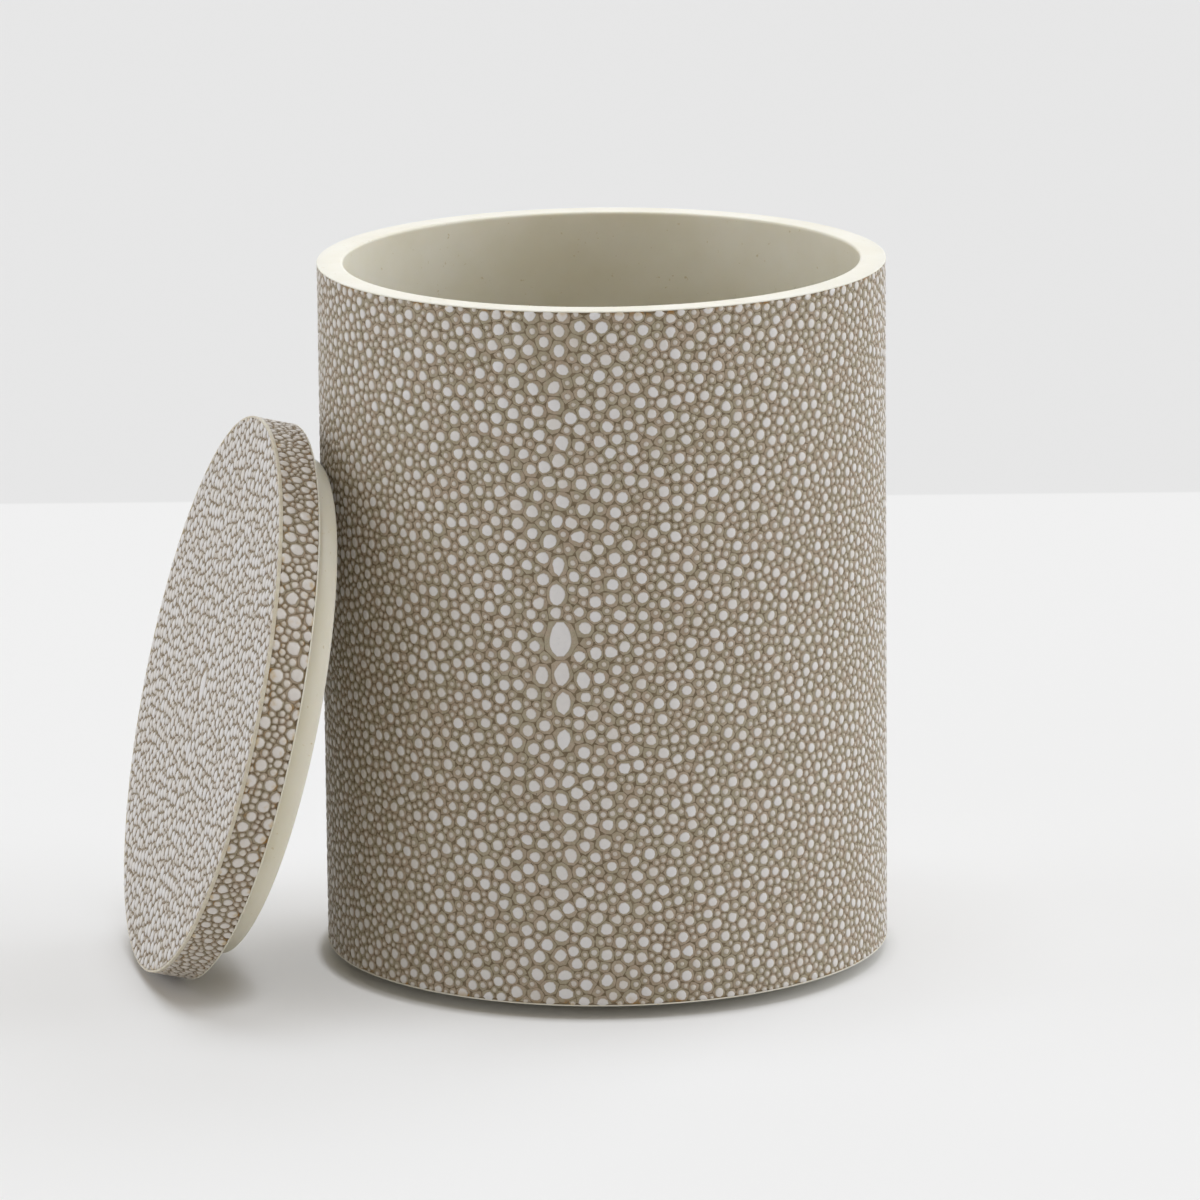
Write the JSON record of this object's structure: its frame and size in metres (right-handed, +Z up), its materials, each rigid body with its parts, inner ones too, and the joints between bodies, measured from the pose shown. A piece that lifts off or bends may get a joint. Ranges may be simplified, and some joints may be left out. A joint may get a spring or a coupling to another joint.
{
  "type": "lidded vanity canister",
  "caption": "Round vanity canister with a cream resin cup, a shagreen wrap, a set-back felt foot and a flat plug lid that leans against the cup.",
  "frame": {"origin": "middle of the felt's underside, on the table, on the canister's axis", "axes": "+Z up along the canister's axis; -Y towards the front; the lid leans on the -X side"},
  "size_m": [0.1373, 0.1123, 0.1248],
  "materials": {
    "cream_resin": "smooth cast resin, satin gloss",
    "shagreen": "polished pale pearls on a taupe ground",
    "foot_resin": "matt, dark brown",
    "felt": "short felt, dark brown"
  },
  "bodies": {
    "canister": {"cup_wall": "cream_resin", "cup_floor": "cream_resin", "cup_shagreen": "shagreen", "foot_disc": "foot_resin", "foot_felt": "felt"},
    "lid": {"lid_core": "cream_resin", "lid_face_shagreen": "shagreen", "lid_edge_shagreen": "shagreen", "lid_plug": "cream_resin"}
  },
  "joints": [
    {"name": "lid_lift", "type": "slide", "parent": "canister", "child": "lid", "axis": [0, 0, 1], "range_m": [0, 0.14]}
  ]
}
